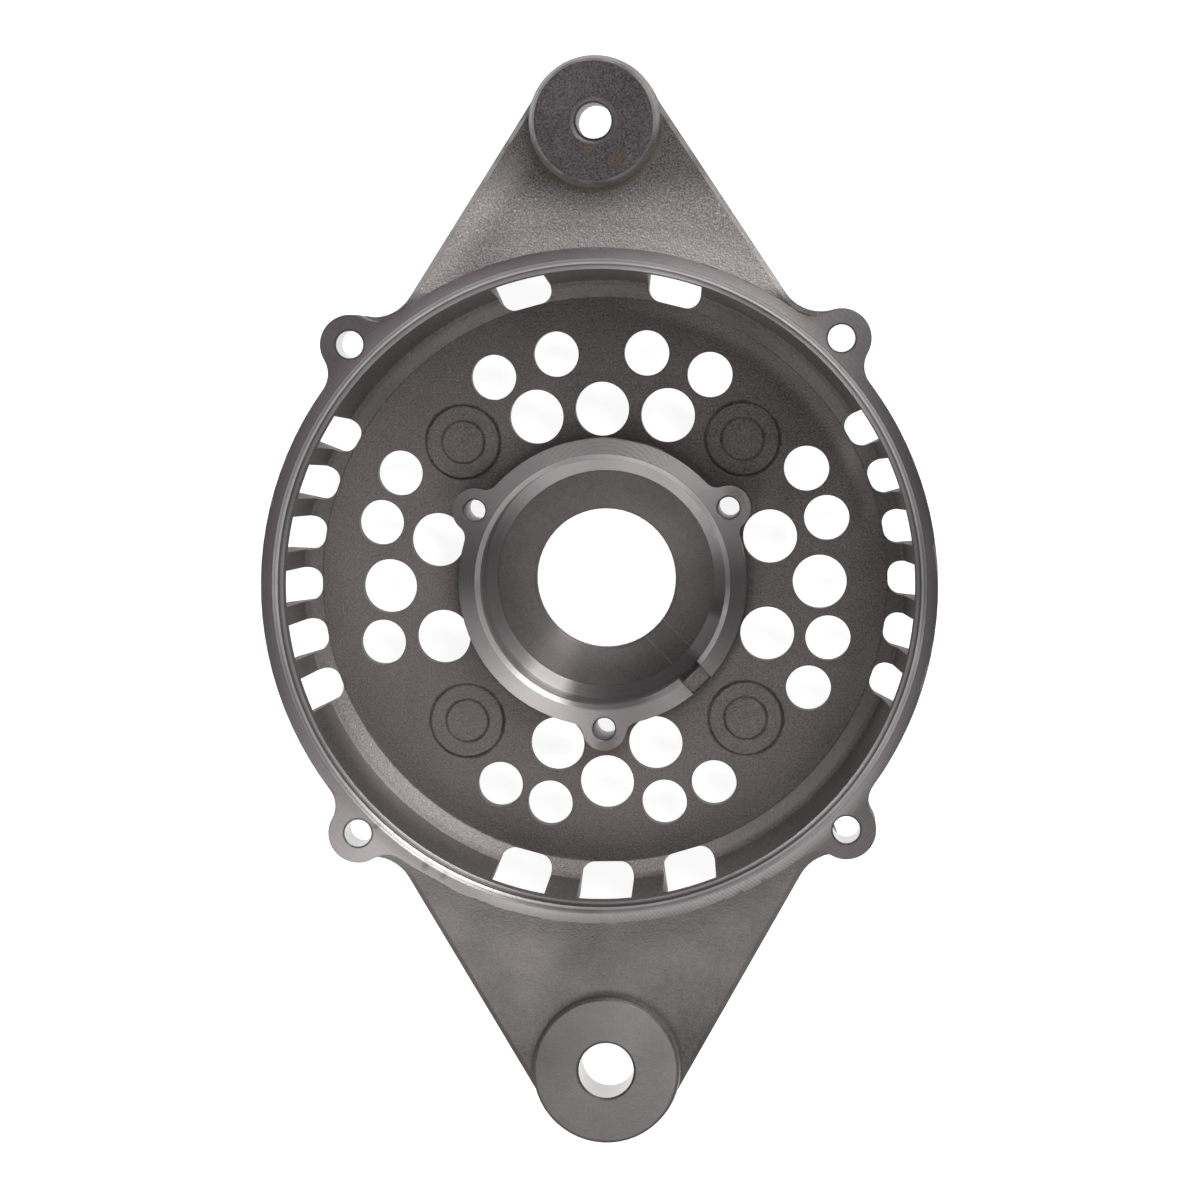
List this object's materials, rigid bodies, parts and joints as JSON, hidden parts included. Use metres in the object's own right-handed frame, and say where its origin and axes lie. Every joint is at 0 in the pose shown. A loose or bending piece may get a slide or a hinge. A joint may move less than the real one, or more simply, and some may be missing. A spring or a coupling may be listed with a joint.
{
  "type": "alternator end housing",
  "caption": "Cast end housing for an alternator: a vented bowl with a bearing hub, wall windows, lugs round the rim and mounting ears.",
  "frame": {"origin": "centre of the bearing's seat, on the bearing axis", "axes": "+Z along the bearing axis, out of the open side of the bowl; +Y to the upper ear with the threaded adjuster hole; -Y to the lower ear with the pivot hole; +X to the right in the picture"},
  "size_m": [0.127, 0.206, 0.0335],
  "materials": {
    "cast_aluminium": "die cast and partly machined, dull dark grey"
  },
  "bodies": {
    "root": {"end_housing": "cast_aluminium"}
  },
  "joints": []
}
